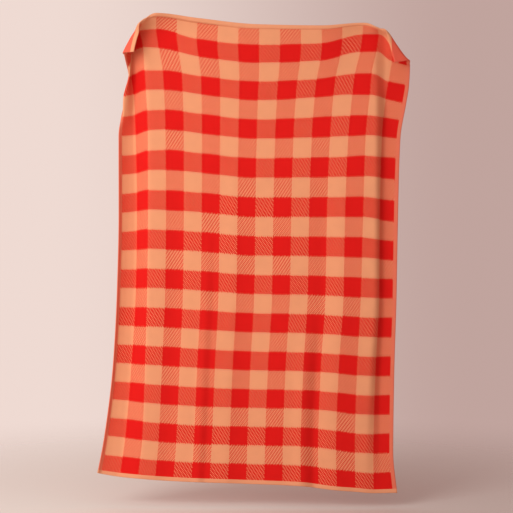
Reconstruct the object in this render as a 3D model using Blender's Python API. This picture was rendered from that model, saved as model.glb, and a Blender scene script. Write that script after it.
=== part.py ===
"""Checked knitted throw hanging from its top edge, one sheet with turned-over upper corners.

Metres, +Z up, the front faces -Y. The origin is the middle of the top edge.
Cloth places are given flat: `across` from the left edge, `down` from the top edge.
"""
import math

import bpy
import numpy as np

# Cut size of the cloth, laid flat
WIDTH = 1.300
LENGTH = 1.908
CLOTH_THICKNESS = 0.0030
HEM_THICKNESS = 0.0042
HEM_DEPTH = 0.017
BORDER_WIDTH = 0.018
CHECK = 0.079
END_CHECK = 0.068

# Measuring of the hung shape
UNIT = 0.00415
SIGHT_DISTANCE = 5.5
CENTRE_UNITS = 257.5
LEVEL_UNITS = 256.5

# Even base net on which the hung shape is worked out
NET_STEP = 0.005
NET_MARGIN = 0.030
PROBE = 0.004
STEEPEST_LEVEL = 0.06

# How fast a soft bump falls away from its top
BUMP_FALL = 2.2

# Half widths over which one face of a fold turns into the next
TUCK_REACH = 0.008
WALL_REACH = 0.012
FACE_REACH = 0.022
RIGHT_REACH = 0.014

# Depth over which a hem thins out
HEM_SLOPE = 0.004

# Colour of the cloth as a whole
CLOTH_COLOUR = (0.79, 0.20, 0.11, 1.0)
CLOTH_ROUGHNESS = 0.92


def line_across(number):
    """Place across of a check line, 0 at the left border and 16 at the right one."""
    return BORDER_WIDTH + number * CHECK


def line_down(number):
    """Place down of a check line, 1 under the first row and 23 over the last one."""
    return HEM_DEPTH + END_CHECK + (number - 1) * CHECK


# Height of the cloth in each section, in units below a level line, along named check lines
DROP_COLUMNS = (
    "down", "left", "strip", "line1", "line2", "line3", "line5", "line8", "line11",
    "line13", "line14", "line15", "right",
)
DROP_PLACES = (
    0.0, 0.050, line_across(1), line_across(2), line_across(3), line_across(5), line_across(8),
    line_across(11), line_across(13), line_across(14), line_across(15), WIDTH,
)
DROPS = (
    (0.0, 43.0, 36.0, 28.8, 21.0, 13.8, 18.7, 24.6, 25.7, 23.2, 27.5, 38.0, 54.0),
    (line_down(1), 57.0, 49.5, 41.0, 30.0, 28.8, 38.6, 44.6, 43.0, 34.2, 34.0, 50.0, 62.0),
    (line_down(2), 69.5, 62.0, 53.0, 47.3, 48.0, 56.5, 62.7, 60.5, 52.0, 51.6, 61.0, 66.0),
    (line_down(3), 79.0, 76.6, 75.3, 70.1, 70.3, 76.0, 81.3, 79.0, 73.6, 73.5, 81.3, 85.5),
    (line_down(4), 97.5, 96.2, 94.5, 90.0, 89.8, 94.5, 100.3, 97.5, 94.6, 95.0, 98.9, 103.5),
    (line_down(6), 136.4, 135.9, 134.9, 130.6, 129.7, 133.6, 138.7, 137.6, 136.2, 135.3, 136.6, 138.5),
    (line_down(10), 213.3, 212.4, 211.3, 209.6, 210.2, 212.4, 217.0, 217.1, 217.0, 217.1, 219.6, 222.0),
    (line_down(14), 288.0, 288.1, 288.3, 288.0, 288.5, 290.6, 294.1, 294.9, 296.6, 297.5, 298.2, 298.3),
    (line_down(18), 362.7, 363.2, 363.7, 364.8, 365.7, 368.0, 370.3, 371.3, 373.5, 375.4, 376.2, 375.8),
    (line_down(22), 435.5, 436.6, 437.7, 440.1, 441.8, 444.0, 445.3, 446.3, 450.0, 452.6, 453.4, 452.6),
    (line_down(23) + END_CHECK, 469.5, 471.3, 472.8, 474.6, 476.0, 478.0, 479.8, 482.0, 486.5, 487.8,
     489.4, 488.7),
    (LENGTH, 472.9, 475.0, 476.8, 478.6, 480.0, 482.0, 483.8, 486.2, 490.5, 491.8, 493.2, 492.8),
)

# Sideways places of named check lines in each section, and how far the section comes forward;
# the cloth hangs flattest between the two places counted in the flattest span
SPAN_COLUMNS = (
    "down", "left", "strip", "line1", "line2", "line3", "line13", "line14", "line15", "right",
    "forward",
)
SPAN_PLACES = (
    0.0, 0.050, line_across(1), line_across(2), line_across(3), line_across(13), line_across(14),
    line_across(15), WIDTH,
)
FLATTEST_SPAN = (4, 5)
SPANS = (
    (0.0, 122.0, 128.5, 135.3, 142.6, 156.0, 363.0, 377.5, 394.5, 409.0, 0.100),
    (line_down(1), 124.6, 129.0, 134.0, 139.8, 156.2, 362.6, 378.6, 394.0, 409.0, 0.075),
    (line_down(2), 127.6, 130.2, 131.5, 143.2, 158.8, 360.0, 376.2, 391.9, 410.0, 0.050),
    (line_down(3), 129.2, 129.2, 131.2, 144.8, 162.7, 355.0, 371.7, 388.5, 409.0, 0.030),
    (line_down(4), 125.8, 125.6, 133.6, 146.2, 164.0, 352.3, 369.7, 385.4, 406.2, 0.014),
    (line_down(6), 118.7, 127.6, 136.0, 148.0, 165.5, 348.4, 365.7, 381.6, 400.4, 0.0),
    (line_down(10), 118.8, 128.6, 137.3, 148.3, 166.0, 345.0, 363.1, 379.3, 397.9, 0.0),
    (line_down(14), 117.2, 126.8, 136.2, 147.3, 165.2, 343.5, 360.8, 378.8, 396.5, 0.0),
    (line_down(18), 113.3, 122.3, 131.8, 145.2, 162.0, 338.5, 356.8, 375.0, 394.2, 0.0),
    (line_down(22), 104.6, 114.6, 125.4, 142.2, 158.5, 336.0, 354.8, 373.2, 393.2, 0.0),
    (LENGTH, 97.5, 108.2, 119.8, 137.8, 155.0, 337.0, 355.5, 373.6, 397.2, 0.0),
)

# Folds beside the left edge: places across and the turn of each face in degrees
LEFT_COLUMNS = ("down", "tuck", "tuck_turn", "strip_turn", "wall", "wall_turn", "valley", "face_turn")
LEFT_FOLDS = (
    (0.0, 0.000, -30.0, 0.0, 0.050, 8.0, 0.105, -20.0),
    (line_down(1), 0.006, -45.0, 15.0, 0.060, 12.0, 0.108, -26.0),
    (line_down(2), 0.030, -35.0, 12.0, 0.066, 16.0, 0.110, -36.0),
    (line_down(3), 0.046, -60.0, 20.0, 0.068, 40.0, 0.110, -46.0),
    (line_down(4), 0.040, -78.0, 15.0, 0.060, 42.0, 0.103, -50.0),
    (line_down(6), 0.020, 40.0, 24.0, 0.050, 14.0, 0.086, -50.0),
    (line_down(10), 0.018, 52.0, 22.0, 0.050, 8.0, 0.086, -48.0),
    (line_down(14), 0.018, 54.0, 20.0, 0.050, 6.0, 0.086, -45.0),
    (line_down(18), 0.018, 54.0, 14.0, 0.050, 4.0, 0.086, -36.0),
    (line_down(22), 0.018, 52.0, 10.0, 0.050, 2.0, 0.086, -24.0),
    (LENGTH, 0.018, 50.0, 8.0, 0.050, 2.0, 0.086, -20.0),
)

# Folds beside the right edge, in the same way
RIGHT_COLUMNS = ("down", "ridge", "wall_turn", "foot", "strip_turn")
RIGHT_FOLDS = (
    (0.0, 1.125, 25.0, 1.190, 10.0),
    (line_down(2), 1.125, 35.0, 1.175, 5.0),
    (line_down(3), 1.140, 45.0, 1.185, 5.0),
    (line_down(4), 1.152, 52.0, 1.200, 0.0),
    (line_down(6), 1.168, 56.0, 1.218, 0.0),
    (line_down(10), 1.180, 58.0, 1.230, 0.0),
    (line_down(14), 1.182, 56.0, 1.232, 0.0),
    (line_down(18), 1.180, 45.0, 1.232, 0.0),
    (line_down(22), 1.175, 20.0, 1.232, 0.0),
    (LENGTH, 1.175, 8.0, 1.232, 5.0),
)

# Long soft folds in the middle: place across, reach, height forward, and where each starts and is full
SOFT_COLUMNS = ("across", "reach", "forward", "start", "full")
SOFT_FOLDS = (
    (0.436, 0.034, 0.008, 0.60, 1.20),
    (0.468, 0.020, -0.004, 0.60, 1.20),
    (0.890, 0.050, 0.011, 1.05, 1.55),
    (0.945, 0.028, -0.006, 1.05, 1.55),
    (0.640, 0.110, -0.006, 0.70, 1.50),
    (1.040, 0.070, 0.008, 0.30, 1.30),
    (0.300, 0.060, -0.006, 0.30, 1.20),
    (0.560, 0.050, 0.004, 0.20, 0.90),
    (0.950, 0.060, -0.005, 0.20, 0.80),
)

# Small gathers under the two held places, and how far the cloth is pulled forward there
GATHER_COLUMNS = ("across", "reach", "height", "wave", "fade", "pull", "pull_reach", "pull_depth")
GATHERS = (
    (0.150, 0.060, 0.0015, 0.042, 0.050, 0.050, 0.200, 0.120),
    (1.150, 0.050, 0.0025, 0.042, 0.050, 0.035, 0.110, 0.110),
)

# Corners turned over to the front: where the crease meets the top and the side edge, its bend
# radius at both ends, the way back over the cloth, how far the turned corner stands off, and how
# much of its top edge rolls under again, over which distance from the crease
CORNER_COLUMNS = (
    "side", "top_reach", "side_reach", "top_radius", "side_radius", "back_across", "back_down",
    "stand_off", "roll", "roll_radius", "roll_start",
)
CORNERS = (
    (-1, 0.215, 0.070, 0.006, 0.007, 0.800, 0.220, 0.35, 0.000, 0.003, 0.050),
    (1, 0.165, 0.125, 0.007, 0.011, -0.720, 0.520, 0.00, 0.036, 0.008, 0.090),
)

# Net of the solid: from the left edge and from the top edge, steps up to each place
ACROSS_STEPS = ((0.120, 12), (0.260, 10), (1.080, 14), (1.160, 7), (1.300, 14))
DOWN_STEPS = ((0.040, 8), (0.180, 14), (0.280, 5), (0.520, 6), (1.820, 13), (LENGTH, 3))


def table(columns, rows):
    """A table's columns by name."""
    values = np.array(rows, float)
    return {name: values[:, index] for index, name in enumerate(columns)}


def slopes(stations, values):
    """Slopes at the stations for a smooth curve that does not overshoot."""
    gaps = np.diff(stations)
    rises = np.diff(values) / gaps
    result = np.empty(len(stations))
    result[0] = rises[0]
    result[-1] = rises[-1]
    before = rises[:-1]
    after = rises[1:]
    same = before * after > 0
    left = 2 * gaps[1:] + gaps[:-1]
    right = gaps[1:] + 2 * gaps[:-1]
    with np.errstate(divide="ignore", invalid="ignore"):
        mean = (left + right) / (left / before + right / after)
    result[1:-1] = np.where(same, mean, 0.0)
    return result


def smooth(stations, values, places):
    """Smooth curve through the stations, straight on beyond the two ends."""
    stations = np.asarray(stations, float)
    values = np.asarray(values, float)
    places = np.asarray(places, float)
    turn = slopes(stations, values)
    index = np.clip(np.searchsorted(stations, places) - 1, 0, len(stations) - 2)
    gap = stations[index + 1] - stations[index]
    share = np.clip((places - stations[index]) / gap, 0.0, 1.0)
    curve = (
        values[index] * (1 + 2 * share) * (1 - share) ** 2
        + turn[index] * gap * share * (1 - share) ** 2
        + values[index + 1] * share**2 * (3 - 2 * share)
        - turn[index + 1] * gap * share**2 * (1 - share)
    )
    below = np.minimum(places - stations[0], 0.0) * turn[0]
    above = np.maximum(places - stations[-1], 0.0) * turn[-1]
    return curve + below + above


def ease(value):
    """Soft step from 0 to 1 over the range 0 to 1."""
    value = np.clip(value, 0.0, 1.0)
    return value * value * (3.0 - 2.0 * value)


def bump(value):
    """Soft round bump of height 1 and half width 1."""
    return np.exp(-BUMP_FALL * value * value)


def drop_net(across, down):
    """Seen height of the cloth in units below the level line, over the base net."""
    columns = table(DROP_COLUMNS, DROPS)
    names = DROP_COLUMNS[1:]
    lines = [smooth(columns["down"], columns[name], down) for name in names]
    lines = np.array(lines)
    return np.array([smooth(DROP_PLACES, lines[:, row], across) for row in range(len(down))])


def turn_net(across, down):
    """Turn of the cloth about the upright, in radians, over the base net."""
    left = table(LEFT_COLUMNS, LEFT_FOLDS)
    right = table(RIGHT_COLUMNS, RIGHT_FOLDS)
    here = {name: smooth(left["down"], left[name], down)[:, None] for name in LEFT_COLUMNS}
    there = {name: smooth(right["down"], right[name], down)[:, None] for name in RIGHT_COLUMNS}
    places = across[None, :]
    turn = here["tuck_turn"] + 0.0 * places
    turn = turn + (here["strip_turn"] - here["tuck_turn"]) * step(places, here["tuck"], TUCK_REACH)
    turn = turn + (here["wall_turn"] - here["strip_turn"]) * step(places, here["wall"], WALL_REACH)
    turn = turn + (here["face_turn"] - here["wall_turn"]) * step(places, here["valley"], WALL_REACH)
    turn = turn - here["face_turn"] * step(places, line_across(2), FACE_REACH)
    turn = turn + there["wall_turn"] * step(places, there["ridge"], RIGHT_REACH)
    turn = turn + (there["strip_turn"] - there["wall_turn"]) * step(places, there["foot"], RIGHT_REACH)
    return np.radians(turn)


def step(places, at, reach):
    """Soft step centred at a place, twice `reach` wide."""
    return ease((places - at) / (2.0 * reach) + 0.5)


def relief_net(across, down):
    """Forward bulges of the soft folds and gathers, in metres, over the base net."""
    places = across[None, :]
    depths = down[:, None]
    relief = np.zeros((len(down), len(across)))
    for row in SOFT_FOLDS:
        fold = dict(zip(SOFT_COLUMNS, row))
        fade = ease((depths - fold["start"]) / (fold["full"] - fold["start"]))
        hump = bump((places - fold["across"]) / fold["reach"])
        relief = relief + fold["forward"] * hump * fade
    for row in GATHERS:
        grip = dict(zip(GATHER_COLUMNS, row))
        beside = places - grip["across"]
        near = bump(beside / grip["reach"]) * bump(depths / grip["fade"])
        relief = relief + grip["height"] * np.cos(2.0 * math.pi * beside / grip["wave"]) * near
        held = bump(beside / grip["pull_reach"]) * (1.0 - ease(depths / grip["pull_depth"]))
        relief = relief + grip["pull"] * held
    return relief


def running_sum(values, across):
    """Integral across the cloth, zero at the left end of the net."""
    gaps = np.diff(across)[None, :]
    parts = 0.5 * (values[:, 1:] + values[:, :-1]) * gaps
    return np.concatenate([np.zeros((len(values), 1)), np.cumsum(parts, axis=1)], axis=1)


def at_place(net, across, place):
    """Column of a net at one place across."""
    return np.array([np.interp(place, across, row) for row in net])


def hung_net(across, down):
    """Points of the hung cloth over the base net, before the corners are turned over."""
    spans = table(SPAN_COLUMNS, SPANS)
    seen = drop_net(across, down)
    rise = -np.gradient(seen * UNIT, across, axis=1)
    level = np.sqrt(np.clip(1.0 - rise**2, STEEPEST_LEVEL, 1.0))
    turn = turn_net(across, down)
    run = running_sum(np.cos(turn) * level, across)
    depth = running_sum(np.sin(turn) * level, across)
    forward = smooth(spans["down"], spans["forward"], down)
    depth = depth - at_place(depth, across, line_across(3))[:, None]
    depth = depth - forward[:, None] - relief_net(across, down)
    names = SPAN_COLUMNS[1:-1]
    runs = np.array([at_place(run, across, place) for place in SPAN_PLACES])
    depths = np.array([at_place(depth, across, place) for place in SPAN_PLACES])
    seen_places = np.array([smooth(spans["down"], spans[name], down) for name in names])
    wanted = (seen_places - CENTRE_UNITS) * UNIT * (1.0 + depths / SIGHT_DISTANCE)
    first, last = FLATTEST_SPAN
    stretch = (wanted[last] - wanted[first]) / (runs[last] - runs[first])
    missing = wanted - runs * stretch
    shift = np.array([smooth(SPAN_PLACES, missing[:, row], across) for row in range(len(down))])
    sideways = run * stretch[:, None] + shift
    height = (LEVEL_UNITS - seen) * UNIT * (1.0 + depth / SIGHT_DISTANCE)
    return np.stack([sideways, depth, height], axis=2)


def corner_frame(side, top_reach, side_reach):
    """Start of a corner's crease on the top edge, its direction, the way outward and its length."""
    edge = 0.0 if side < 0 else WIDTH
    start = np.array([edge - side * top_reach, 0.0])
    end = np.array([edge, side_reach])
    length = float(np.linalg.norm(end - start))
    along = (end - start) / length
    outward = np.array([along[1], -along[0]])
    if np.dot(np.array([edge, 0.0]) - start, outward) < 0:
        outward = -outward
    return start, along, outward, length


def rolled(past, radius):
    """Way on and rise of cloth that rolls over by half a turn, for distances past the roll's start."""
    angle = np.clip(past / radius, 0.0, math.pi)
    rest = np.maximum(past - math.pi * radius, 0.0)
    return radius * np.sin(angle) - rest, radius * (1.0 - np.cos(angle))


def turn_corner(points, across, down, net, corner):
    """Points with one upper corner of the cloth turned over its crease to the front."""
    shape = dict(zip(CORNER_COLUMNS, corner))
    start, along, outward, length = corner_frame(
        shape["side"], shape["top_reach"], shape["side_reach"])
    beyond = (np.stack([across, down], axis=-1) - start) @ outward
    roll = shape["roll"] * ease(beyond / shape["roll_start"])
    past = np.maximum(roll - down, 0.0) * (roll > 0)
    way, dip = rolled(past, shape["roll_radius"])
    offset = np.stack([across, down + past - way], axis=-1) - start
    share = np.clip((offset @ along) / length, 0.0, 1.0)
    radius = shape["top_radius"] + (shape["side_radius"] - shape["top_radius"]) * share
    back, height = rolled(np.maximum(offset @ outward, 0.0), radius)
    crease = sample(net, start + (offset @ along)[..., None] * along)
    forward = height - dip - shape["stand_off"] * np.minimum(back, 0.0)
    move = np.stack(
        [-back * shape["back_across"], -forward, back * shape["back_down"]], axis=-1)
    return np.where((beyond > 0)[..., None], crease + move, points)


def sample(net, places):
    """Values of the base net at any places, straight on beyond its rim."""
    column = (places[..., 0] + NET_MARGIN) / NET_STEP
    row = (places[..., 1] + NET_MARGIN) / NET_STEP
    left = np.clip(np.floor(column).astype(int), 0, net.shape[1] - 2)
    top = np.clip(np.floor(row).astype(int), 0, net.shape[0] - 2)
    s = (column - left)[..., None]
    t = (row - top)[..., None]
    upper = net[top, left] * (1 - s) + net[top, left + 1] * s
    lower = net[top + 1, left] * (1 - s) + net[top + 1, left + 1] * s
    return upper * (1 - t) + lower * t


def unit(vectors):
    """Vectors scaled to length one."""
    return vectors / np.linalg.norm(vectors, axis=-1, keepdims=True)


def base_net():
    """Hung points over the even base net."""
    across = np.arange(-NET_MARGIN, WIDTH + NET_MARGIN + NET_STEP / 2, NET_STEP)
    down = np.arange(-NET_MARGIN, LENGTH + NET_MARGIN + NET_STEP / 2, NET_STEP)
    return hung_net(across, down)


def cloth_middle(across, down):
    """Points midway through the cloth for flat places, from the middle of the top edge."""
    net = base_net()
    points = sample(net, np.stack([across, down], axis=-1))
    for corner in CORNERS:
        points = turn_corner(points, across, down, net, corner)
    return points - sample(net, np.array([WIDTH / 2, 0.0]))


def stations(steps):
    """Places of the net lines from a table of ends and step counts."""
    places = [0.0]
    for end, count in steps:
        start = places[-1]
        places.extend(start + (end - start) * (index + 1) / count for index in range(count))
    return np.array(places)


def thickness(down):
    """Cloth thickness, more in the two hems."""
    inside = np.minimum(down, LENGTH - down)
    share = ease((inside - HEM_DEPTH) / HEM_SLOPE + 0.5)
    return HEM_THICKNESS + (CLOTH_THICKNESS - HEM_THICKNESS) * share


def two_faces():
    """Front and back points of the sheet over the solid's net."""
    across_line = stations(ACROSS_STEPS)
    down_line = stations(DOWN_STEPS)
    across, down = np.meshgrid(across_line, down_line)
    middle = cloth_middle(across, down)
    rightward = cloth_middle(across + PROBE, down) - cloth_middle(across - PROBE, down)
    downward = cloth_middle(across, down + PROBE) - cloth_middle(across, down - PROBE)
    front = unit(np.cross(downward, rightward))
    half = 0.5 * thickness(down)[..., None]
    return middle + front * half, middle - front * half


def sheet_mesh(name):
    """Closed mesh of the sheet: two faces joined round the rim."""
    front, back = two_faces()
    rows, columns = front.shape[:2]
    points = np.concatenate([front.reshape(-1, 3), back.reshape(-1, 3)])
    index = np.arange(rows * columns).reshape(rows, columns)
    other = index + rows * columns
    faces = []
    for row in range(rows - 1):
        for column in range(columns - 1):
            near = (index[row, column], index[row + 1, column],
                    index[row + 1, column + 1], index[row, column + 1])
            far = (other[row, column], other[row, column + 1],
                   other[row + 1, column + 1], other[row + 1, column])
            faces.append(near)
            faces.append(far)
    rim = list(index[0, :]) + list(index[1:, -1]) + list(index[-1, -2::-1]) + list(index[-2:0:-1, 0])
    size = rows * columns
    for place, start in enumerate(rim):
        end = rim[(place + 1) % len(rim)]
        faces.append((start, end, end + size, start + size))
    mesh = bpy.data.meshes.new(name)
    faces = [tuple(int(corner) for corner in face) for face in faces]
    mesh.from_pydata([tuple(point) for point in points], [], faces)
    mesh.validate()
    mesh.update()
    return mesh


def cloth_material():
    """Matt finish of the whole cloth."""
    material = bpy.data.materials.new("knitted_cotton")
    material.use_nodes = True
    shader = material.node_tree.nodes["Principled BSDF"]
    shader.inputs["Base Color"].default_value = CLOTH_COLOUR
    shader.inputs["Roughness"].default_value = CLOTH_ROUGHNESS
    shader.inputs["Metallic"].default_value = 0.0
    material.diffuse_color = CLOTH_COLOUR
    return material


def build():
    """The throw as one solid, its origin at the middle of the top edge."""
    for item in list(bpy.data.objects):
        bpy.data.objects.remove(item, do_unlink=True)
    mesh = sheet_mesh("blanket")
    item = bpy.data.objects.new("blanket", mesh)
    bpy.context.scene.collection.objects.link(item)
    item.data.materials.append(cloth_material())
    return item


build()
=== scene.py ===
"""Dressed model of a checked knitted throw that hangs from its top edge.

The throw is one double-faced knitted cloth: red and peach checks on the front, plain salmon on
the reverse and along the two side borders, and a narrow peach hem at the top and the bottom.
Metres, +Z up, the front faces -Y, and the origin is the middle of the top edge. Cloth places are
given flat: `across` from the left edge and `down` from the top edge.
"""

import logging
import math
from dataclasses import dataclass, field
from enum import Enum

import bpy
import numpy as np
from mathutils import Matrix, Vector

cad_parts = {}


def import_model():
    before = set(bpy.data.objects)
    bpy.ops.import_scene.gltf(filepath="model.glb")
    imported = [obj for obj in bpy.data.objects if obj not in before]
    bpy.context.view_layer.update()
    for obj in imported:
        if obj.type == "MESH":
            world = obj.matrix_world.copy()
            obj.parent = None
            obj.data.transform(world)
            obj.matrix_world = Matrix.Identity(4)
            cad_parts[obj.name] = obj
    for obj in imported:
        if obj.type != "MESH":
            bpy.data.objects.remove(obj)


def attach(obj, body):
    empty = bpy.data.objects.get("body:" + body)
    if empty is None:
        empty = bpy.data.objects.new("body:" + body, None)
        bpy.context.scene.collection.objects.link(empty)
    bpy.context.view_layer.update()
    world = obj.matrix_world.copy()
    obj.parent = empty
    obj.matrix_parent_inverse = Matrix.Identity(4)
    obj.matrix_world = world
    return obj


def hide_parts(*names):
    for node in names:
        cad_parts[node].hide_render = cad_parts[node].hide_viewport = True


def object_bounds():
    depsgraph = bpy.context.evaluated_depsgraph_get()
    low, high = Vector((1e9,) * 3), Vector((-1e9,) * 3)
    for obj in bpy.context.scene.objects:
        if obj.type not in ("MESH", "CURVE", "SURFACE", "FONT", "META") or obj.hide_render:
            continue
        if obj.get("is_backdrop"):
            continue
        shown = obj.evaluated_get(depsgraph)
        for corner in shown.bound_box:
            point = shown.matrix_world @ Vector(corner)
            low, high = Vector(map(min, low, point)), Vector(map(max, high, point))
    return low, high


LOG = logging.getLogger("throw")
IMAGE_SIZE = 513
BUMP_FALL = 2.2  # how fast a round bump falls away
Colour = tuple[float, float, float, float]
Row = tuple[float, ...]


class ClothFace(Enum):
    """Which face of the cloth a finish is for, with its material slot number."""

    FRONT = 0
    REVERSE = 1


class Slant(Enum):
    """Which way the lines of a mixed check run, with the maths step that makes them."""

    RISING = "ADD"
    FALLING = "SUBTRACT"


# Flat measures of the cloth


@dataclass(frozen=True)
class Cut:
    """Flat sizes of the cut and hemmed cloth."""

    width: float = 1.300
    length: float = 1.908
    cloth_thickness: float = 0.0030
    hem_thickness: float = 0.0042
    hem_depth: float = 0.017
    border_width: float = 0.018
    check: float = 0.079
    end_check: float = 0.068

    def line_across(self, number: int) -> float:
        """Place across of a check line, 0 at the left border and 16 at the right one."""
        return self.border_width + number * self.check

    def line_down(self, number: int) -> float:
        """Place down of a check line, 1 under the first row and 23 over the last one."""
        return self.hem_depth + self.end_check + (number - 1) * self.check


CUT = Cut()


@dataclass(frozen=True)
class Table:
    """A short table of sections or folds, one named column for each measure."""

    columns: tuple[str, ...]
    rows: tuple[Row, ...]

    def column(self, name: str) -> np.ndarray:
        """One column of the table by name."""
        return np.array([row[self.columns.index(name)] for row in self.rows], float)

    def at(self, name: str, down: np.ndarray) -> np.ndarray:
        """A column as a smooth curve at any depths."""
        return smooth(self.column("down"), self.column(name), down)


def across(number: int) -> float:
    """Place across of a check line of the cut cloth."""
    return CUT.line_across(number)


def down(number: int) -> float:
    """Place down of a check line of the cut cloth."""
    return CUT.line_down(number)


# Height of the cloth in each section along named check lines, in pixels of the photograph below
# a level line. From down(6) on, most values come from a program that tracked the check's edges
# in the photograph, and were not judged by hand
DROPS = Table(
    ("down", "left", "strip", "line1", "line2", "line3", "line5", "line8", "line11", "line13",
     "line14", "line15", "right"),
    (
        (0.0, 43.0, 36.0, 28.8, 21.0, 13.8, 18.7, 24.6, 25.7, 23.2, 27.5, 38.0, 54.0),
        (down(1), 57.0, 49.5, 41.0, 30.0, 28.8, 38.6, 44.6, 43.0, 34.2, 34.0, 50.0, 62.0),
        (down(2), 69.5, 62.0, 53.0, 47.3, 48.0, 56.5, 62.7, 60.5, 52.0, 51.6, 61.0, 66.0),
        (down(3), 79.0, 76.6, 75.3, 70.1, 70.3, 76.0, 81.3, 79.0, 73.6, 73.5, 81.3, 85.5),
        (down(4), 97.5, 96.2, 94.5, 90.0, 89.8, 94.5, 100.3, 97.5, 94.6, 95.0, 98.9, 103.5),
        (down(6), 136.4, 135.9, 134.9, 130.6, 129.7, 133.6, 138.7, 137.6, 136.2, 135.3,
         136.6, 138.5),
        (down(10), 213.3, 212.4, 211.3, 209.6, 210.2, 212.4, 217.0, 217.1, 217.0, 217.1,
         219.6, 222.0),
        (down(14), 288.0, 288.1, 288.3, 288.0, 288.5, 290.6, 294.1, 294.9, 296.6, 297.5,
         298.2, 298.3),
        (down(18), 362.7, 363.2, 363.7, 364.8, 365.7, 368.0, 370.3, 371.3, 373.5, 375.4,
         376.2, 375.8),
        (down(22), 435.5, 436.6, 437.7, 440.1, 441.8, 444.0, 445.3, 446.3, 450.0, 452.6,
         453.4, 452.6),
        (down(23) + CUT.end_check, 469.5, 471.3, 472.8, 474.6, 476.0, 478.0, 479.8, 482.0, 486.5,
         487.8, 489.4, 488.7),
        (CUT.length, 472.9, 475.0, 476.8, 478.6, 480.0, 482.0, 483.8, 486.2, 490.5, 491.8, 493.2,
         492.8),
    ),
)
DROP_PLACES = (
    0.0, 0.050, across(1), across(2), across(3), across(5), across(8), across(11), across(13),
    across(14), across(15), CUT.width,
)

# Sideways places of named check lines in each section, in pixels of the photograph and in part
# from the same program, and how far the section comes forward in metres
SPANS = Table(
    ("down", "left", "strip", "line1", "line2", "line3", "line13", "line14", "line15", "right",
     "forward"),
    (
        (0.0, 122.0, 128.5, 135.3, 142.6, 156.0, 363.0, 377.5, 394.5, 409.0, 0.100),
        (down(1), 124.6, 129.0, 134.0, 139.8, 156.2, 362.6, 378.6, 394.0, 409.0, 0.075),
        (down(2), 127.6, 130.2, 131.5, 143.2, 158.8, 360.0, 376.2, 391.9, 410.0, 0.050),
        (down(3), 129.2, 129.2, 131.2, 144.8, 162.7, 355.0, 371.7, 388.5, 409.0, 0.030),
        (down(4), 125.8, 125.6, 133.6, 146.2, 164.0, 352.3, 369.7, 385.4, 406.2, 0.014),
        (down(6), 118.7, 127.6, 136.0, 148.0, 165.5, 348.4, 365.7, 381.6, 400.4, 0.0),
        (down(10), 118.8, 128.6, 137.3, 148.3, 166.0, 345.0, 363.1, 379.3, 397.9, 0.0),
        (down(14), 117.2, 126.8, 136.2, 147.3, 165.2, 343.5, 360.8, 378.8, 396.5, 0.0),
        (down(18), 113.3, 122.3, 131.8, 145.2, 162.0, 338.5, 356.8, 375.0, 394.2, 0.0),
        (down(22), 104.6, 114.6, 125.4, 142.2, 158.5, 336.0, 354.8, 373.2, 393.2, 0.0),
        (CUT.length, 97.5, 108.2, 119.8, 137.8, 155.0, 337.0, 355.5, 373.6, 397.2, 0.0),
    ),
)
SPAN_PLACES = (
    0.0, 0.050, across(1), across(2), across(3), across(13), across(14), across(15), CUT.width,
)

# Folds beside the left edge: places across and the turn of each face in degrees
LEFT_FOLDS = Table(
    ("down", "tuck", "tuck_turn", "strip_turn", "wall", "wall_turn", "valley", "face_turn"),
    (
        (0.0, 0.000, -30.0, 0.0, 0.050, 8.0, 0.105, -20.0),
        (down(1), 0.006, -45.0, 15.0, 0.060, 12.0, 0.108, -26.0),
        (down(2), 0.030, -35.0, 12.0, 0.066, 16.0, 0.110, -36.0),
        (down(3), 0.046, -60.0, 20.0, 0.068, 40.0, 0.110, -46.0),
        (down(4), 0.040, -78.0, 15.0, 0.060, 42.0, 0.103, -50.0),
        (down(6), 0.020, 40.0, 24.0, 0.050, 14.0, 0.086, -50.0),
        (down(10), 0.018, 52.0, 22.0, 0.050, 8.0, 0.086, -48.0),
        (down(14), 0.018, 54.0, 20.0, 0.050, 6.0, 0.086, -45.0),
        (down(18), 0.018, 54.0, 14.0, 0.050, 4.0, 0.086, -36.0),
        (down(22), 0.018, 52.0, 10.0, 0.050, 2.0, 0.086, -24.0),
        (CUT.length, 0.018, 50.0, 8.0, 0.050, 2.0, 0.086, -20.0),
    ),
)

# Folds beside the right edge, in the same way
RIGHT_FOLDS = Table(
    ("down", "ridge", "wall_turn", "foot", "strip_turn"),
    (
        (0.0, 1.125, 25.0, 1.190, 10.0),
        (down(2), 1.125, 35.0, 1.175, 5.0),
        (down(3), 1.140, 45.0, 1.185, 5.0),
        (down(4), 1.152, 52.0, 1.200, 0.0),
        (down(6), 1.168, 56.0, 1.218, 0.0),
        (down(10), 1.180, 58.0, 1.230, 0.0),
        (down(14), 1.182, 56.0, 1.232, 0.0),
        (down(18), 1.180, 45.0, 1.232, 0.0),
        (down(22), 1.175, 20.0, 1.232, 0.0),
        (CUT.length, 1.175, 8.0, 1.232, 5.0),
    ),
)

# Long soft folds in the middle: place across, reach, height forward, start and full depth
SOFT_FOLDS: tuple[Row, ...] = (
    (0.436, 0.034, 0.006, 0.75, 1.45),
    (0.468, 0.020, -0.004, 0.60, 1.20),
    (0.890, 0.050, 0.011, 1.05, 1.55),
    (0.945, 0.028, -0.006, 1.05, 1.55),
    (0.640, 0.110, -0.006, 0.70, 1.50),
    (1.040, 0.070, 0.008, 0.30, 1.30),
    (0.300, 0.060, -0.006, 0.30, 1.20),
    (0.560, 0.050, 0.004, 0.20, 0.90),
    (0.950, 0.060, -0.005, 0.20, 0.80),
)


@dataclass(frozen=True)
class Gather:
    """Small gathers under a held place, and how far the cloth is pulled forward there."""

    middle: float
    reach: float
    height: float
    wave: float
    fade: float
    pull: float
    pull_reach: float
    pull_depth: float


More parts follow.
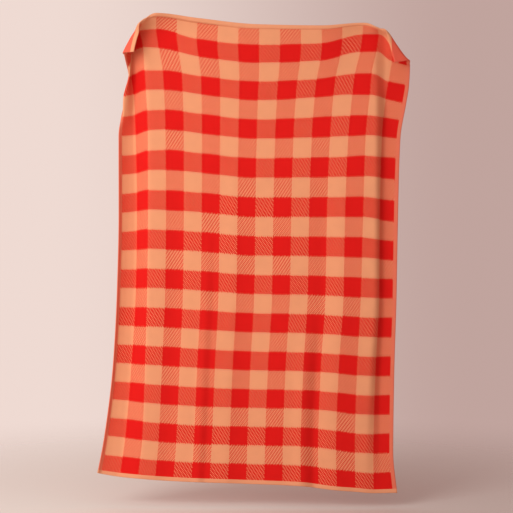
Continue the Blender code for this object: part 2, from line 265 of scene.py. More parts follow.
GATHERS = (
    Gather(0.150, 0.060, 0.0015, 0.042, 0.050, 0.050, 0.200, 0.120),
    Gather(1.150, 0.050, 0.0025, 0.042, 0.050, 0.035, 0.110, 0.110),
)


@dataclass(frozen=True)
class Corner:
    """An upper corner turned over to the front along a straight crease of the cloth."""

    side: int
    top_reach: float
    side_reach: float
    top_radius: float
    side_radius: float
    back_across: float
    back_down: float
    stand_off: float
    roll: float
    roll_radius: float
    roll_start: float


CORNERS = (
    Corner(-1, 0.215, 0.070, 0.006, 0.007, 0.800, 0.220, 0.35, 0.000, 0.003, 0.050),
    Corner(1, 0.165, 0.125, 0.007, 0.011, -0.720, 0.520, 0.00, 0.036, 0.008, 0.090),
)


# Curves


def slopes(stations: np.ndarray, values: np.ndarray) -> np.ndarray:
    """Slopes at the stations for a smooth curve that does not overshoot.

    Args:
        stations: Places of the given values, rising.
        values: The values there.

    Returns:
        The slope at each station.
    """
    gaps = np.diff(stations)
    rises = np.diff(values) / gaps
    result = np.empty(len(stations))
    result[0] = rises[0]
    result[-1] = rises[-1]
    before = rises[:-1]
    after = rises[1:]
    left = 2 * gaps[1:] + gaps[:-1]
    right = gaps[1:] + 2 * gaps[:-1]
    with np.errstate(divide="ignore", invalid="ignore"):
        mean = (left + right) / (left / before + right / after)
    result[1:-1] = np.where(before * after > 0, mean, 0.0)
    return result


def smooth(stations: np.ndarray, values: np.ndarray, places: np.ndarray) -> np.ndarray:
    """Smooth curve through the stations, straight on beyond the two ends.

    Args:
        stations: Places of the given values, rising.
        values: The values there.
        places: Where the curve is wanted.

    Returns:
        The curve at those places.
    """
    stations = np.asarray(stations, float)
    values = np.asarray(values, float)
    places = np.asarray(places, float)
    turn = slopes(stations, values)
    index = np.clip(np.searchsorted(stations, places) - 1, 0, len(stations) - 2)
    gap = stations[index + 1] - stations[index]
    share = np.clip((places - stations[index]) / gap, 0.0, 1.0)
    curve = (
        values[index] * (1 + 2 * share) * (1 - share) ** 2
        + turn[index] * gap * share * (1 - share) ** 2
        + values[index + 1] * share**2 * (3 - 2 * share)
        - turn[index + 1] * gap * share**2 * (1 - share)
    )
    below = np.minimum(places - stations[0], 0.0) * turn[0]
    above = np.maximum(places - stations[-1], 0.0) * turn[-1]
    return curve + below + above


def ease(value: np.ndarray) -> np.ndarray:
    """Soft step from 0 to 1 over the range 0 to 1."""
    value = np.clip(value, 0.0, 1.0)
    return value * value * (3.0 - 2.0 * value)


def bump(value: np.ndarray) -> np.ndarray:
    """Soft round bump of height 1 and half width 1."""
    return np.exp(-BUMP_FALL * value * value)


def step(places: np.ndarray, at: np.ndarray, reach: float) -> np.ndarray:
    """Soft step centred at a place, twice `reach` wide."""
    return ease((places - at) / (2.0 * reach) + 0.5)


def running_sum(values: np.ndarray, places: np.ndarray) -> np.ndarray:
    """Integral of each row across the cloth, zero at its left end."""
    parts = 0.5 * (values[:, 1:] + values[:, :-1]) * np.diff(places)[None, :]
    return np.concatenate([np.zeros((len(values), 1)), np.cumsum(parts, axis=1)], axis=1)


def at_place(net: np.ndarray, places: np.ndarray, place: float) -> np.ndarray:
    """Column of a net at one place across."""
    return np.array([np.interp(place, places, row) for row in net])


def unit(vectors: np.ndarray) -> np.ndarray:
    """Vectors scaled to length one."""
    return vectors / np.linalg.norm(vectors, axis=-1, keepdims=True)


def rolled(past: np.ndarray, radius: np.ndarray | float) -> tuple[np.ndarray, np.ndarray]:
    """Cloth that rolls over by half a turn.

    Args:
        past: Flat distances past the start of the roll.
        radius: Radius of the roll.

    Returns:
        The way on and the rise.
    """
    angle = np.clip(past / radius, 0.0, math.pi)
    rest = np.maximum(past - math.pi * radius, 0.0)
    return radius * np.sin(angle) - rest, radius * (1.0 - np.cos(angle))


# The hung shape


@dataclass(frozen=True)
class TopHem:
    """How the hem of the top edge leans forward between the two held places."""

    lean: float = 0.004
    lean_depth: float = 0.080
    lip: float = 0.015
    lip_edge: float = 0.013
    lip_return: float = 0.007
    left_start: float = 0.215
    left_full: float = 0.262
    fading: float = 0.360
    faded: float = 0.620
    faded_share: float = 0.250
    right_full: float = 1.080
    right_end: float = 1.135

    def forward(self, places: np.ndarray, depths: np.ndarray) -> np.ndarray:
        """How far the hem comes forward.

        Args:
            places: Flat places across.
            depths: Flat places down, in the same shape.

        Returns:
            The way forward in metres, one per place.
        """
        left = ease((places - self.left_start) / (self.left_full - self.left_start))
        right = ease((self.right_end - places) / (self.right_end - self.right_full))
        fade = ease((places - self.fading) / (self.faded - self.fading))
        strong = 1.0 - (1.0 - self.faded_share) * fade
        lean = self.lean * (1.0 - ease(depths / self.lean_depth))
        lip = self.lip * strong * (1.0 - ease((depths - self.lip_edge) / self.lip_return))
        return left * right * (lean + lip)


TOP_HEM = TopHem()


@dataclass
class HungShape:
    """Works out where each flat place of the cloth hangs, from the tables above."""

    pixel_size: float = 0.00415
    sight_distance: float = 5.5
    centre_pixels: float = 257.5
    level_pixels: float = 256.5
    net_step: float = 0.005
    net_margin: float = 0.030
    least_level: float = 0.06
    tuck_reach: float = 0.008
    wall_reach: float = 0.012
    face_reach: float = 0.022
    right_reach: float = 0.014
    net: np.ndarray = field(init=False)
    origin: np.ndarray = field(init=False)

    def __post_init__(self) -> None:
        """Lays the even base net and finds the middle of the top edge."""
        ends = self.net_margin + self.net_step / 2
        places = np.arange(-self.net_margin, CUT.width + ends, self.net_step)
        depths = np.arange(-self.net_margin, CUT.length + ends, self.net_step)
        self.net = self._hung_net(places, depths)
        self.origin = self._sample(np.array([CUT.width / 2, 0.0]))

    def middle(self, places: np.ndarray, depths: np.ndarray) -> np.ndarray:
        """Points midway through the cloth.

        Args:
            places: Flat places across.
            depths: Flat places down, in the same shape.

        Returns:
            Points from the middle of the top edge, one per place.
        """
        points = self._sample(np.stack([places, depths], axis=-1))
        points[..., 1] -= TOP_HEM.forward(places, depths)
        for corner in CORNERS:
            points = self._turn_corner(points, places, depths, corner)
        return points - self.origin

    def _drop_net(self, places: np.ndarray, depths: np.ndarray) -> np.ndarray:
        """Height in pixels of the photograph below the level line.

        Args:
            places: Places across of the net lines.
            depths: Places down of the net lines.

        Returns:
            One row of heights for each depth.
        """
        lines = np.array([DROPS.at(name, depths) for name in DROPS.columns[1:]])
        return np.array([smooth(DROP_PLACES, lines[:, row], places) for row in range(len(depths))])

    def _turn_net(self, places: np.ndarray, depths: np.ndarray) -> np.ndarray:
        """Turn of the cloth about the upright, in radians.

        Args:
            places: Places across of the net lines.
            depths: Places down of the net lines.

        Returns:
            One row of turns for each depth.
        """
        here = {name: LEFT_FOLDS.at(name, depths)[:, None] for name in LEFT_FOLDS.columns}
        there = {name: RIGHT_FOLDS.at(name, depths)[:, None] for name in RIGHT_FOLDS.columns}
        row = places[None, :]
        turn = here["tuck_turn"] + 0.0 * row
        strip = step(row, here["tuck"], self.tuck_reach)
        turn = turn + (here["strip_turn"] - here["tuck_turn"]) * strip
        wall = step(row, here["wall"], self.wall_reach)
        turn = turn + (here["wall_turn"] - here["strip_turn"]) * wall
        valley = step(row, here["valley"], self.wall_reach)
        turn = turn + (here["face_turn"] - here["wall_turn"]) * valley
        turn = turn - here["face_turn"] * step(row, across(2), self.face_reach)
        turn = turn + there["wall_turn"] * step(row, there["ridge"], self.right_reach)
        foot = step(row, there["foot"], self.right_reach)
        turn = turn + (there["strip_turn"] - there["wall_turn"]) * foot
        return np.radians(turn)

    def _relief_net(self, places: np.ndarray, depths: np.ndarray) -> np.ndarray:
        """Forward bulges of the soft folds, the gathers and the held places, in metres.

        Args:
            places: Places across of the net lines.
            depths: Places down of the net lines.

        Returns:
            One row of heights for each depth.
        """
        row = places[None, :]
        column = depths[:, None]
        relief = np.zeros((len(depths), len(places)))
        for middle, reach, forward, start, full in SOFT_FOLDS:
            share = ease((column - start) / (full - start))
            relief += forward * bump((row - middle) / reach) * share
        for item in GATHERS:
            ripple = np.cos(2.0 * math.pi * (row - item.middle) / item.wave)
            near = bump((row - item.middle) / item.reach) * bump(column / item.fade)
            held = 1.0 - ease(column / item.pull_depth)
            pull = item.pull * bump((row - item.middle) / item.pull_reach) * held
            relief += item.height * ripple * near + pull
        return relief

    def _hung_net(self, places: np.ndarray, depths: np.ndarray) -> np.ndarray:
        """Points of the hung cloth before the corners are turned over.

        Args:
            places: Places across of the net lines.
            depths: Places down of the net lines.

        Returns:
            Points in rows down and columns across.
        """
        seen = self._drop_net(places, depths)
        rise = -np.gradient(seen * self.pixel_size, places, axis=1)
        level = np.sqrt(np.clip(1.0 - rise**2, self.least_level, 1.0))
        turn = self._turn_net(places, depths)
        run = running_sum(np.cos(turn) * level, places)
        depth = running_sum(np.sin(turn) * level, places)
        depth = depth - at_place(depth, places, across(3))[:, None]
        depth = depth - SPANS.at("forward", depths)[:, None] - self._relief_net(places, depths)
        runs = np.array([at_place(run, places, place) for place in SPAN_PLACES])
        deeps = np.array([at_place(depth, places, place) for place in SPAN_PLACES])
        seen_places = np.array([SPANS.at(name, depths) for name in SPANS.columns[1:-1]])
        nearness = 1.0 + deeps / self.sight_distance
        wanted = (seen_places - self.centre_pixels) * self.pixel_size * nearness
        stretch = (wanted[5] - wanted[4]) / (runs[5] - runs[4])
        missing = wanted - runs * stretch
        shift = np.array(
            [smooth(SPAN_PLACES, missing[:, row], places) for row in range(len(depths))])
        height = (self.level_pixels - seen) * self.pixel_size * (1.0 + depth / self.sight_distance)
        return np.stack([run * stretch[:, None] + shift, depth, height], axis=2)

    def _sample(self, flat: np.ndarray) -> np.ndarray:
        """Points of the base net at any flat places, straight on beyond its rim.

        Args:
            flat: Pairs of across and down.

        Returns:
            One point for each pair.
        """
        column = (flat[..., 0] + self.net_margin) / self.net_step
        row = (flat[..., 1] + self.net_margin) / self.net_step
        left = np.clip(np.floor(column).astype(int), 0, self.net.shape[1] - 2)
        top = np.clip(np.floor(row).astype(int), 0, self.net.shape[0] - 2)
        s = (column - left)[..., None]
        t = (row - top)[..., None]
        upper = self.net[top, left] * (1 - s) + self.net[top, left + 1] * s
        lower = self.net[top + 1, left] * (1 - s) + self.net[top + 1, left + 1] * s
        return upper * (1 - t) + lower * t

    def _turn_corner(
        self, points: np.ndarray, places: np.ndarray, depths: np.ndarray, corner: Corner,
    ) -> np.ndarray:
        """Turns one upper corner of the cloth over its crease to the front.

        Args:
            points: Points of the cloth before the turn.
            places: Their flat places across.
            depths: Their flat places down.
            corner: The corner to turn.

        Returns:
            The points with the corner turned over.
        """
        edge = 0.0 if corner.side < 0 else CUT.width
        start = np.array([edge - corner.side * corner.top_reach, 0.0])
        end = np.array([edge, corner.side_reach])
        length = float(np.linalg.norm(end - start))
        along = (end - start) / length
        outward = np.array([along[1], -along[0]])
        if np.dot(np.array([edge, 0.0]) - start, outward) < 0:
            outward = -outward
        beyond = (np.stack([places, depths], axis=-1) - start) @ outward
        roll = corner.roll * ease(beyond / corner.roll_start)
        past = np.maximum(roll - depths, 0.0) * (roll > 0)
        on, dip = rolled(past, corner.roll_radius)
        offset = np.stack([places, depths + past - on], axis=-1) - start
        way = offset @ along
        share = np.clip(way / length, 0.0, 1.0)
        radius = corner.top_radius + (corner.side_radius - corner.top_radius) * share
        back, height = rolled(np.maximum(offset @ outward, 0.0), radius)
        crease = self._sample(start + way[..., None] * along)
        forward = height - dip - corner.stand_off * np.minimum(back, 0.0)
        move = np.stack(
            [-back * corner.back_across, -forward, back * corner.back_down], axis=-1)
        return np.where((beyond > 0)[..., None], crease + move, points)


# Finishes


@dataclass
class NodeBench:
    """Small helper that lays out the maths nodes of one material."""

    material: bpy.types.Material

    def add(self, kind: str, **settings: object) -> bpy.types.Node:
        """Adds a node of a kind and sets its plain settings.

        Args:
            kind: Kind of the node.
            settings: Plain settings by name.

        Returns:
            The new node.
        """
        node = self.material.node_tree.nodes.new(kind)
        for name, value in settings.items():
            setattr(node, name, value)
        return node

    def link(self, value: object, socket: bpy.types.NodeSocket) -> None:
        """Joins a socket or a plain number or colour to an input socket.

        Args:
            value: What to join.
            socket: The input socket.
        """
        if isinstance(value, bpy.types.NodeSocket):
            self.material.node_tree.links.new(value, socket)
        else:
            socket.default_value = value

    def math(self, operation: str, *values: object) -> bpy.types.NodeSocket:
        """A maths node of up to three inputs.

        Args:
            operation: Name of the operation.
            values: Sockets or plain numbers.

        Returns:
            The result socket.
        """
        node = self.add("ShaderNodeMath", operation=operation)
        for index, value in enumerate(values):
            self.link(value, node.inputs[index])
        return node.outputs[0]

    def mix(self, share: object, first: object, second: object) -> bpy.types.NodeSocket:
        """Mix of two colours by a share.

        Args:
            share: Share of the second colour.
            first: First colour.
            second: Second colour.

        Returns:
            The colour socket.
        """
        node = self.add("ShaderNodeMix", data_type="RGBA")
        self.link(share, node.inputs[0])
        self.link(first, node.inputs[6])
        self.link(second, node.inputs[7])
        return node.outputs[2]

    def soft_edge(self, value: object, low: float, high: float) -> bpy.types.NodeSocket:
        """Soft step from 0 at low to 1 at high.

        Args:
            value: The value that rises.
            low: Where the step starts.
            high: Where it ends.

        Returns:
            The step's socket.
        """
        node = self.add("ShaderNodeMapRange", interpolation_type="SMOOTHSTEP")
        self.link(value, node.inputs["Value"])
        node.inputs["From Min"].default_value = low
        node.inputs["From Max"].default_value = high
        return node.outputs["Result"]

    def noise(self, vector: object, scale: float, detail: float) -> bpy.types.NodeSocket:
        """Soft noise over a vector.

        Args:
            vector: Places as a vector.
            scale: Fineness of the noise.
            detail: Number of finer layers.

        Returns:
            The noise socket.
        """
        node = self.add("ShaderNodeTexNoise")
        self.link(vector, node.inputs["Vector"])
        node.inputs["Scale"].default_value = scale
        node.inputs["Detail"].default_value = detail
        return node.outputs["Fac"]


@dataclass(frozen=True)
class KnitColours:
    """Yarn colours of the double-faced knit."""

    red: Colour = (0.680, 0.0120, 0.0100, 1.0)
    peach: Colour = (0.770, 0.335, 0.175, 1.0)
    salmon: Colour = (0.740, 0.120, 0.075, 1.0)
    border: Colour = (0.750, 0.185, 0.110, 1.0)
    hem: Colour = (0.760, 0.335, 0.180, 1.0)


@dataclass(frozen=True)
class KnitFinish:
    """Matt double-faced jacquard knit, coloured by its flat places."""

    face: ClothFace
    colours: KnitColours = KnitColours()
    stitch_width: float = CUT.check / 18
    course_height: float = CUT.check / 19
    hatch_width: float = CUT.check / 6.2
    hatch_height: float = CUT.check / 4.2
    hatch_strength: float = 0.50
    light_share: float = 0.58
    dark_share: float = 0.03
    share_lean: float = 1.1
    dot_softness: float = 0.45
    cloudy_share: float = 0.10
    fine_share: float = 0.16
    cloudy_scale: float = 22.0
    fine_scale: float = 420.0
    hem_blur: float = 0.0006
    border_blur: float = 0.0008
    roughness: float = 0.92
    shine: float = 0.05
    sheen: float = 0.05
    sheen_roughness: float = 0.5
    bump_height: float = 0.0006
    bump_strength: float = 0.5
    leg_slant: float = 0.9
    rib_base: float = 0.4

    def make(self) -> bpy.types.Material:
        """Makes the material.

        Returns:
            The finished node material.
        """
        name = "knit_checks" if self.face is ClothFace.FRONT else "knit_reverse"
        material = bpy.data.materials.new(name)
        material.use_nodes = True
        bench = NodeBench(material)
        shader = material.node_tree.nodes["Principled BSDF"]
        flat = bench.add("ShaderNodeUVMap", uv_map="flat")
        parts = bench.add("ShaderNodeSeparateXYZ")
        bench.link(flat.outputs["UV"], parts.inputs[0])
        place, depth = parts.outputs[0], parts.outputs[1]
        wale, course = self._stitches(bench, place, depth)
        if self.face is ClothFace.FRONT:
            colour = self._checks(bench, place, depth)
        else:
            colour = self.colours.salmon
        inside = bench.math("MINIMUM", depth, bench.math("SUBTRACT", CUT.length, depth))
        hem = bench.soft_edge(
            inside, CUT.hem_depth + self.hem_blur, CUT.hem_depth - self.hem_blur)
        colour = bench.mix(hem, colour, self.colours.hem)
        colour = self._yarn_shade(bench, colour, flat.outputs["UV"])
        bench.link(colour, shader.inputs["Base Color"])
        shader.inputs["Roughness"].default_value = self.roughness
        shader.inputs["Specular IOR Level"].default_value = self.shine
        shader.inputs["Sheen Weight"].default_value = self.sheen
        shader.inputs["Sheen Roughness"].default_value = self.sheen_roughness
        shader.inputs["Sheen Tint"].default_value = self.colours.peach
        self._knit_relief(bench, shader, wale, course)
        return material

    def _stitches(
        self, bench: NodeBench, place: object, depth: object,
    ) -> tuple[bpy.types.NodeSocket, bpy.types.NodeSocket]:
        """Running numbers of the stitch column and the course.

        Args:
            bench: Where the nodes are laid.
            place: Place across.
            depth: Place down.

        Returns:
            The column's and the course's sockets.
        """
        wale = bench.math("DIVIDE", place, self.stitch_width)
        course = bench.math("DIVIDE", depth, self.course_height)
        return wale, course

    def _wave(self, bench: NodeBench, value: object, size: float) -> bpy.types.NodeSocket:
        """Sine wave over a value that turns its sign after each size."""
        return bench.math("SINE", bench.math("MULTIPLY", value, math.pi / size))

    def _checks(self, bench: NodeBench, place: object, depth: object) -> bpy.types.NodeSocket:
        """Colour of the front: checks inside the two plain side borders.

        Args:
            bench: Where the nodes are laid.
            place: Place across.
            depth: Place down.

        Returns:
            The colour socket.
        """
        column = bench.math("FLOOR", bench.math(
            "DIVIDE", bench.math("SUBTRACT", place, CUT.border_width), CUT.check))
        wave = self._wave(bench, place, self.stitch_width)
        tooth = bench.math("MULTIPLY", bench.math("SIGN", wave), self.course_height / 2)
        first = CUT.line_down(1) - CUT.check
        row = bench.math("FLOOR", bench.math(
            "DIVIDE", bench.math("SUBTRACT", bench.math("ADD", depth, tooth), first), CUT.check))
        red_column = bench.math("FLOORED_MODULO", column, 2.0)
        red_row = bench.math("FLOORED_MODULO", row, 2.0)
        light = bench.math("MULTIPLY", red_column, bench.math("SUBTRACT", 1.0, red_row))
        dark = bench.math("MULTIPLY", red_row, bench.math("SUBTRACT", 1.0, red_column))
        plain = bench.math("MULTIPLY", bench.math("SUBTRACT", 1.0, red_row),
                           bench.math("SUBTRACT", 1.0, red_column))
        share = bench.math(
            "MULTIPLY", light, self._dots(bench, place, depth, self.light_share, Slant.RISING))
        other = bench.math(
            "MULTIPLY", dark, self._dots(bench, place, depth, self.dark_share, Slant.FALLING))
        share = bench.math("ADD", plain, bench.math("ADD", share, other))
        colour = bench.mix(share, self.colours.red, self.colours.peach)
        inside = bench.math("MINIMUM", place, bench.math("SUBTRACT", CUT.width, place))
        border = bench.soft_edge(
            inside, CUT.border_width + self.border_blur, CUT.border_width - self.border_blur)
        return bench.mix(border, colour, self.colours.border)

    def _dots(
        self, bench: NodeBench, place: object, depth: object, share: float,
        slant: Slant,
    ) -> bpy.types.NodeSocket:
        """Peach stitches on red in a mixed check, one in two by turns, in slanting lines.

        Args:
            bench: Where the nodes are laid.
            place: Place across.
            depth: Place down.
            share: Share of the peach yarn that shows.
            slant: Which way the lines run.

        Returns:
            The peach share at each place.
        """
        wave = self._wave(bench, place, self.stitch_width)
        turn = self._wave(bench, depth, self.course_height)
        product = bench.math("MULTIPLY", wave, turn)
        phase = bench.math(slant.value, bench.math("DIVIDE", place, self.hatch_width),
                           bench.math("DIVIDE", depth, self.hatch_height))
        line = bench.math("SINE", bench.math("MULTIPLY", phase, 2.0 * math.pi))
        product = bench.math("ADD", product, bench.math("MULTIPLY", line, self.hatch_strength))
        lean = (share - 0.5) * self.share_lean
        return bench.soft_edge(product, -self.dot_softness - lean, self.dot_softness - lean)

    def _yarn_shade(
        self, bench: NodeBench, colour: object, flat: object,
    ) -> bpy.types.NodeSocket:
        """Slight unevenness of the dyed yarn.

        Args:
            bench: Where the nodes are laid.
            colour: Colour before shading.
            flat: Flat places as a vector.

        Returns:
            The shaded colour socket.
        """
        cloudy = bench.math("SUBTRACT", bench.noise(flat, self.cloudy_scale, 3.0), 0.5)
        fine = bench.math("SUBTRACT", bench.noise(flat, self.fine_scale, 2.0), 0.5)
        shade = bench.math("ADD", bench.math("MULTIPLY", cloudy, self.cloudy_share),
                           bench.math("MULTIPLY", fine, self.fine_share))
        value = bench.math("ADD", 1.0, shade)
        node = bench.add("ShaderNodeMix", data_type="RGBA", blend_type="MULTIPLY")
        node.inputs[0].default_value = 1.0
        bench.link(colour, node.inputs[6])
        grey = bench.add("ShaderNodeCombineColor")
        for index in range(3):
            bench.link(value, grey.inputs[index])
        bench.link(grey.outputs[0], node.inputs[7])
        return node.outputs[2]

    def _knit_relief(
        self, bench: NodeBench, shader: bpy.types.Node, wale: object, course: object,
    ) -> None:
        """Bump of the stitch columns and the slanted legs of each stitch.

        Args:
            bench: Where the nodes are laid.
            shader: The material's shader.
            wale: Running number of the stitch column.
            course: Running number of the course.
        """
        rib = bench.math("ABSOLUTE", bench.math("SINE", bench.math("MULTIPLY", wale, math.pi)))
        leg = bench.math("PINGPONG", wale, 0.5)
        slant = bench.math("ADD", course, bench.math("MULTIPLY", leg, self.leg_slant))
        row = bench.math("ABSOLUTE", bench.math("SINE", bench.math("MULTIPLY", slant, math.pi)))
        height = bench.math("MULTIPLY", rib, bench.math("ADD", self.rib_base, row))
        relief = bench.add("ShaderNodeBump")
        relief.inputs["Strength"].default_value = self.bump_strength
        relief.inputs["Distance"].default_value = self.bump_height
        bench.link(height, relief.inputs["Height"])
        bench.link(relief.outputs["Normal"], shader.inputs["Normal"])


@dataclass(frozen=True)
class FloorFinish:
    """Pale matt floor with painted light on its left and painted shade on its right, that fades
    out softly towards its rim.
    """

    # Painted light and shade: floor colour of the lit left side and of the dim right side
    painted_lit_side: Colour = (0.785, 0.760, 0.720, 1.0)
    dim_side: Colour = (0.550, 0.490, 0.467, 1.0)
    half_width: float = 1.0
    roughness: float = 0.9
    full_radius: float = 0.6
    rim_radius: float = 3.4

    def make(self) -> bpy.types.Material:
        """Makes the material.

        Returns:
            The finished material.
        """
        material = bpy.data.materials.new("pale_floor")
        material.use_nodes = True
        bench = NodeBench(material)
        shader = material.node_tree.nodes["Principled BSDF"]
        places = bench.add("ShaderNodeTexCoord")
        parts = bench.add("ShaderNodeSeparateXYZ")
        bench.link(places.outputs["Object"], parts.inputs[0])
        # Painted shade: the floor colour darkens from left to right
        share = bench.soft_edge(parts.outputs[0], -self.half_width, self.half_width)
        bench.link(bench.mix(share, self.painted_lit_side, self.dim_side), shader.inputs["Base Color"])
        shader.inputs["Roughness"].default_value = self.roughness
        shader.inputs["Specular IOR Level"].default_value = 0.0
        reach = bench.add("ShaderNodeVectorMath", operation="LENGTH")
        bench.link(places.outputs["Object"], reach.inputs[0])
        bench.link(bench.soft_edge(reach.outputs["Value"], self.rim_radius, self.full_radius),
                   shader.inputs["Alpha"])
        return material


# The throw itself


@dataclass
class KnittedThrow:
    """The whole throw: one closed sheet with its hems, borders and turned corners."""

    shape: HungShape
    across_steps: tuple[tuple[float, int], ...] = (
        (0.260, 58), (1.080, 78), (1.300, 50),
    )
    down_steps: tuple[tuple[float, int], ...] = (
        (0.016, 6), (0.034, 12), (0.200, 42), (0.520, 48), (1.887, 150), (CUT.length, 6),
    )
    probe: float = 0.002
    hem_slope: float = 0.004

    def build(self) -> bpy.types.Object:
        """Builds and dresses the throw.

        Returns:
            The finished piece.
        """
        front, back, flat = self._faces()
        mesh = self._mesh(front, back, flat)
        piece = bpy.data.objects.new("knitted_throw", mesh)
        bpy.context.scene.collection.objects.link(piece)
        for face in ClothFace:
            piece.data.materials.append(KnitFinish(face).make())
        return piece

    def _stations(self, steps: tuple[tuple[float, int], ...]) -> np.ndarray:
        """Places of the net lines from a table of ends and step counts.

        Args:
            steps: End of each stretch and its number of steps.

        Returns:
            The places.
        """
        places = [0.0]
        for end, count in steps:
            start = places[-1]
            places.extend(start + (end - start) * (index + 1) / count for index in range(count))
        return np.array(places)

    def _thickness(self, depths: np.ndarray) -> np.ndarray:
        """Cloth thickness, more in the two hems.

        Args:
            depths: Flat places down.

        Returns:
            The thickness at each place.
        """
        inside = np.minimum(depths, CUT.length - depths)
        share = ease((inside - CUT.hem_depth) / self.hem_slope + 0.5)
        return CUT.hem_thickness + (CUT.cloth_thickness - CUT.hem_thickness) * share

    def _faces(self) -> tuple[np.ndarray, np.ndarray, np.ndarray]:
        """Front and back points of the sheet and their flat places.

        Returns:
            Front points, back points, and pairs of across and down.
        """
        places, depths = np.meshgrid(
            self._stations(self.across_steps), self._stations(self.down_steps))
        middle = self.shape.middle(places, depths)
        probe = self.probe
        rightward = (self.shape.middle(places + probe, depths)
                     - self.shape.middle(places - probe, depths))
        downward = (self.shape.middle(places, depths + probe)
                    - self.shape.middle(places, depths - probe))
        normal = unit(np.cross(downward, rightward))
        half = 0.5 * self._thickness(depths)[..., None]
        return middle + normal * half, middle - normal * half, np.stack([places, depths], axis=-1)

    def _mesh(self, front: np.ndarray, back: np.ndarray, flat: np.ndarray) -> bpy.types.Mesh:
        """Closed mesh of the sheet with its flat places as a UV map.

        Args:
            front: Front points in rows and columns.
            back: Back points in the same order.
            flat: Flat places in the same order.

        Returns:
            The smooth-shaded mesh.
        """
        rows, columns = front.shape[:2]
        points = np.concatenate([front.reshape(-1, 3), back.reshape(-1, 3)])
        index = np.arange(rows * columns).reshape(rows, columns)
        near = np.stack(
            [index[:-1, :-1], index[1:, :-1], index[1:, 1:], index[:-1, 1:]], axis=-1)
        near = near.reshape(-1, 4)
        far = near[:, ::-1] + rows * columns
        rim = np.concatenate([index[0, :], index[1:, -1], index[-1, -2::-1], index[-2:0:-1, 0]])
        after = np.roll(rim, -1)
        size = rows * columns
        edge = np.stack([rim, after, after + size, rim + size], axis=-1)
        faces = np.concatenate([near, far, edge])
        mesh = bpy.data.meshes.new("knitted_throw")
        mesh.from_pydata(points.tolist(), [], faces.tolist())
        slots = np.zeros(len(faces), dtype=np.int32)
        slots[len(near):len(near) + len(far)] = ClothFace.REVERSE.value
        mesh.polygons.foreach_set("material_index", slots)
        mesh.polygons.foreach_set("use_smooth", np.ones(len(faces), dtype=bool))
        layer = mesh.uv_layers.new(name="flat")
        places = np.concatenate([flat.reshape(-1, 2), flat.reshape(-1, 2)])
        layer.data.foreach_set("uv", places[faces.reshape(-1)].reshape(-1).astype(np.float32))
        mesh.update()
        return mesh


# The studio


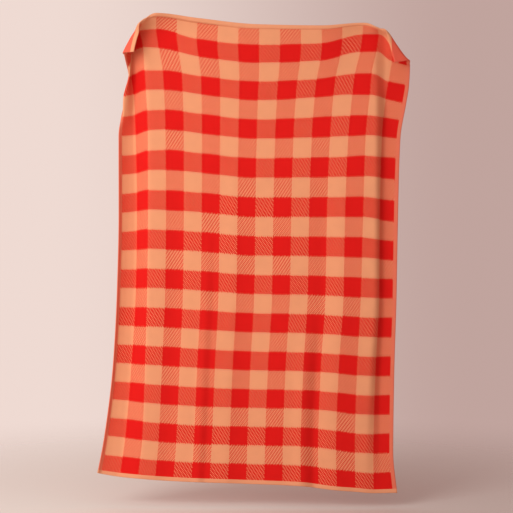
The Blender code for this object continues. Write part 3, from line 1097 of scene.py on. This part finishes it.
@dataclass
class Studio:
    """Floor, soft light and camera around the hung throw."""

    origin: np.ndarray
    sight_distance: float = 5.5
    lens: float = 93.0
    axis_offset: float = 1.0
    floor_drop: float = 0.060
    floor_size: float = 14.0
    bright_side: Colour = (0.860, 0.700, 0.645, 1.0)
    dim_side: Colour = (0.530, 0.370, 0.340, 1.0)
    change_reach: float = 0.16
    lamp_place: tuple[float, float, float] = (-2.60, -3.30, 0.35)
    lamp_aim: tuple[float, float, float] = (0.0, 0.0, -0.95)
    lamp_size: float = 2.4
    lamp_power: float = 121.0
    lamp_tint: tuple[float, float, float] = (1.0, 0.98, 0.95)
    sensor_width: float = 36.0
    far_limit: float = 60.0

    def build(self, lowest: float) -> None:
        """Sets up the floor, the lights, the surroundings and the camera.

        Args:
            lowest: Height of the throw's lowest point.
        """
        self._floor(lowest - self.floor_drop)
        self._surroundings()
        self._lamp()
        self._camera()

    def _floor(self, height: float) -> None:
        """Pale floor with painted light on the left and painted shade on the right, not part of
        the throw.

        Args:
            height: Height of the floor.
        """
        half = self.floor_size / 2
        corners = [(-half, -half, 0.0), (half, -half, 0.0), (half, half, 0.0), (-half, half, 0.0)]
        mesh = bpy.data.meshes.new("floor")
        mesh.from_pydata(corners, [], [(0, 1, 2, 3)])
        mesh.materials.append(FloorFinish().make())
        floor = bpy.data.objects.new("floor", mesh)
        floor.location = (0.0, 0.0, height)
        bpy.context.scene.collection.objects.link(floor)
        floor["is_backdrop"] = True

    def _surroundings(self) -> None:
        """Soft pale light from all around, brighter on the left."""
        world = bpy.data.worlds.new("pale_studio")
        world.use_nodes = True
        nodes = world.node_tree.nodes
        links = world.node_tree.links
        way = nodes.new("ShaderNodeTexCoord")
        parts = nodes.new("ShaderNodeSeparateXYZ")
        links.new(way.outputs["Generated"], parts.inputs[0])
        share = nodes.new("ShaderNodeMapRange")
        share.interpolation_type = "SMOOTHSTEP"
        share.inputs["From Min"].default_value = -self.change_reach
        share.inputs["From Max"].default_value = self.change_reach
        links.new(parts.outputs[0], share.inputs["Value"])
        mix = nodes.new("ShaderNodeMix")
        mix.data_type = "RGBA"
        links.new(share.outputs["Result"], mix.inputs[0])
        mix.inputs[6].default_value = self.bright_side
        mix.inputs[7].default_value = self.dim_side
        links.new(mix.outputs[2], nodes["Background"].inputs["Color"])
        bpy.context.scene.world = world
        bpy.context.scene.view_settings.view_transform = "Standard"

    def _lamp(self) -> None:
        """Soft square lamp on the left, aimed at the middle of the throw."""
        light = bpy.data.lights.new("key", type="AREA")
        light.size = self.lamp_size
        light.energy = self.lamp_power
        light.color = self.lamp_tint
        lamp = bpy.data.objects.new("key", light)
        lamp.location = self.lamp_place
        aim = np.array(self.lamp_aim) - np.array(self.lamp_place)
        lamp.rotation_euler = (
            math.pi / 2 + math.atan2(aim[2], math.hypot(aim[0], aim[1])), 0.0,
            math.atan2(-aim[0], aim[1]))
        bpy.context.scene.collection.objects.link(lamp)

    def _camera(self) -> None:
        """Camera level with the middle of the picture, looking along +Y."""
        data = bpy.data.cameras.new("camera")
        data.lens = self.lens
        data.sensor_width = self.sensor_width
        data.shift_x = -self.axis_offset / IMAGE_SIZE
        data.clip_end = self.far_limit
        camera = bpy.data.objects.new("camera", data)
        camera.location = (
            -self.origin[0], -self.sight_distance - self.origin[1], -self.origin[2])
        camera.rotation_euler = (math.pi / 2, 0.0, 0.0)
        bpy.context.scene.collection.objects.link(camera)
        bpy.context.scene.camera = camera


def plain(box: tuple) -> list[list[float]]:
    """Box corners as plain lists of numbers."""
    return [[float(value) for value in corner] for corner in box]


def main() -> None:
    """Loads the frame, builds the throw and the studio, and reports each piece."""
    logging.basicConfig(level=logging.INFO, format="%(name)s: %(message)s")
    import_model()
    cad_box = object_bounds()
    shape = HungShape()
    throw = KnittedThrow(shape).build()
    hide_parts("blanket")
    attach(throw, "root")
    LOG.info("%s: %d faces", throw.name, len(throw.data.polygons))
    Studio(shape.origin).build(float(cad_box[0][2]))


if __name__ == "__main__":
    main()
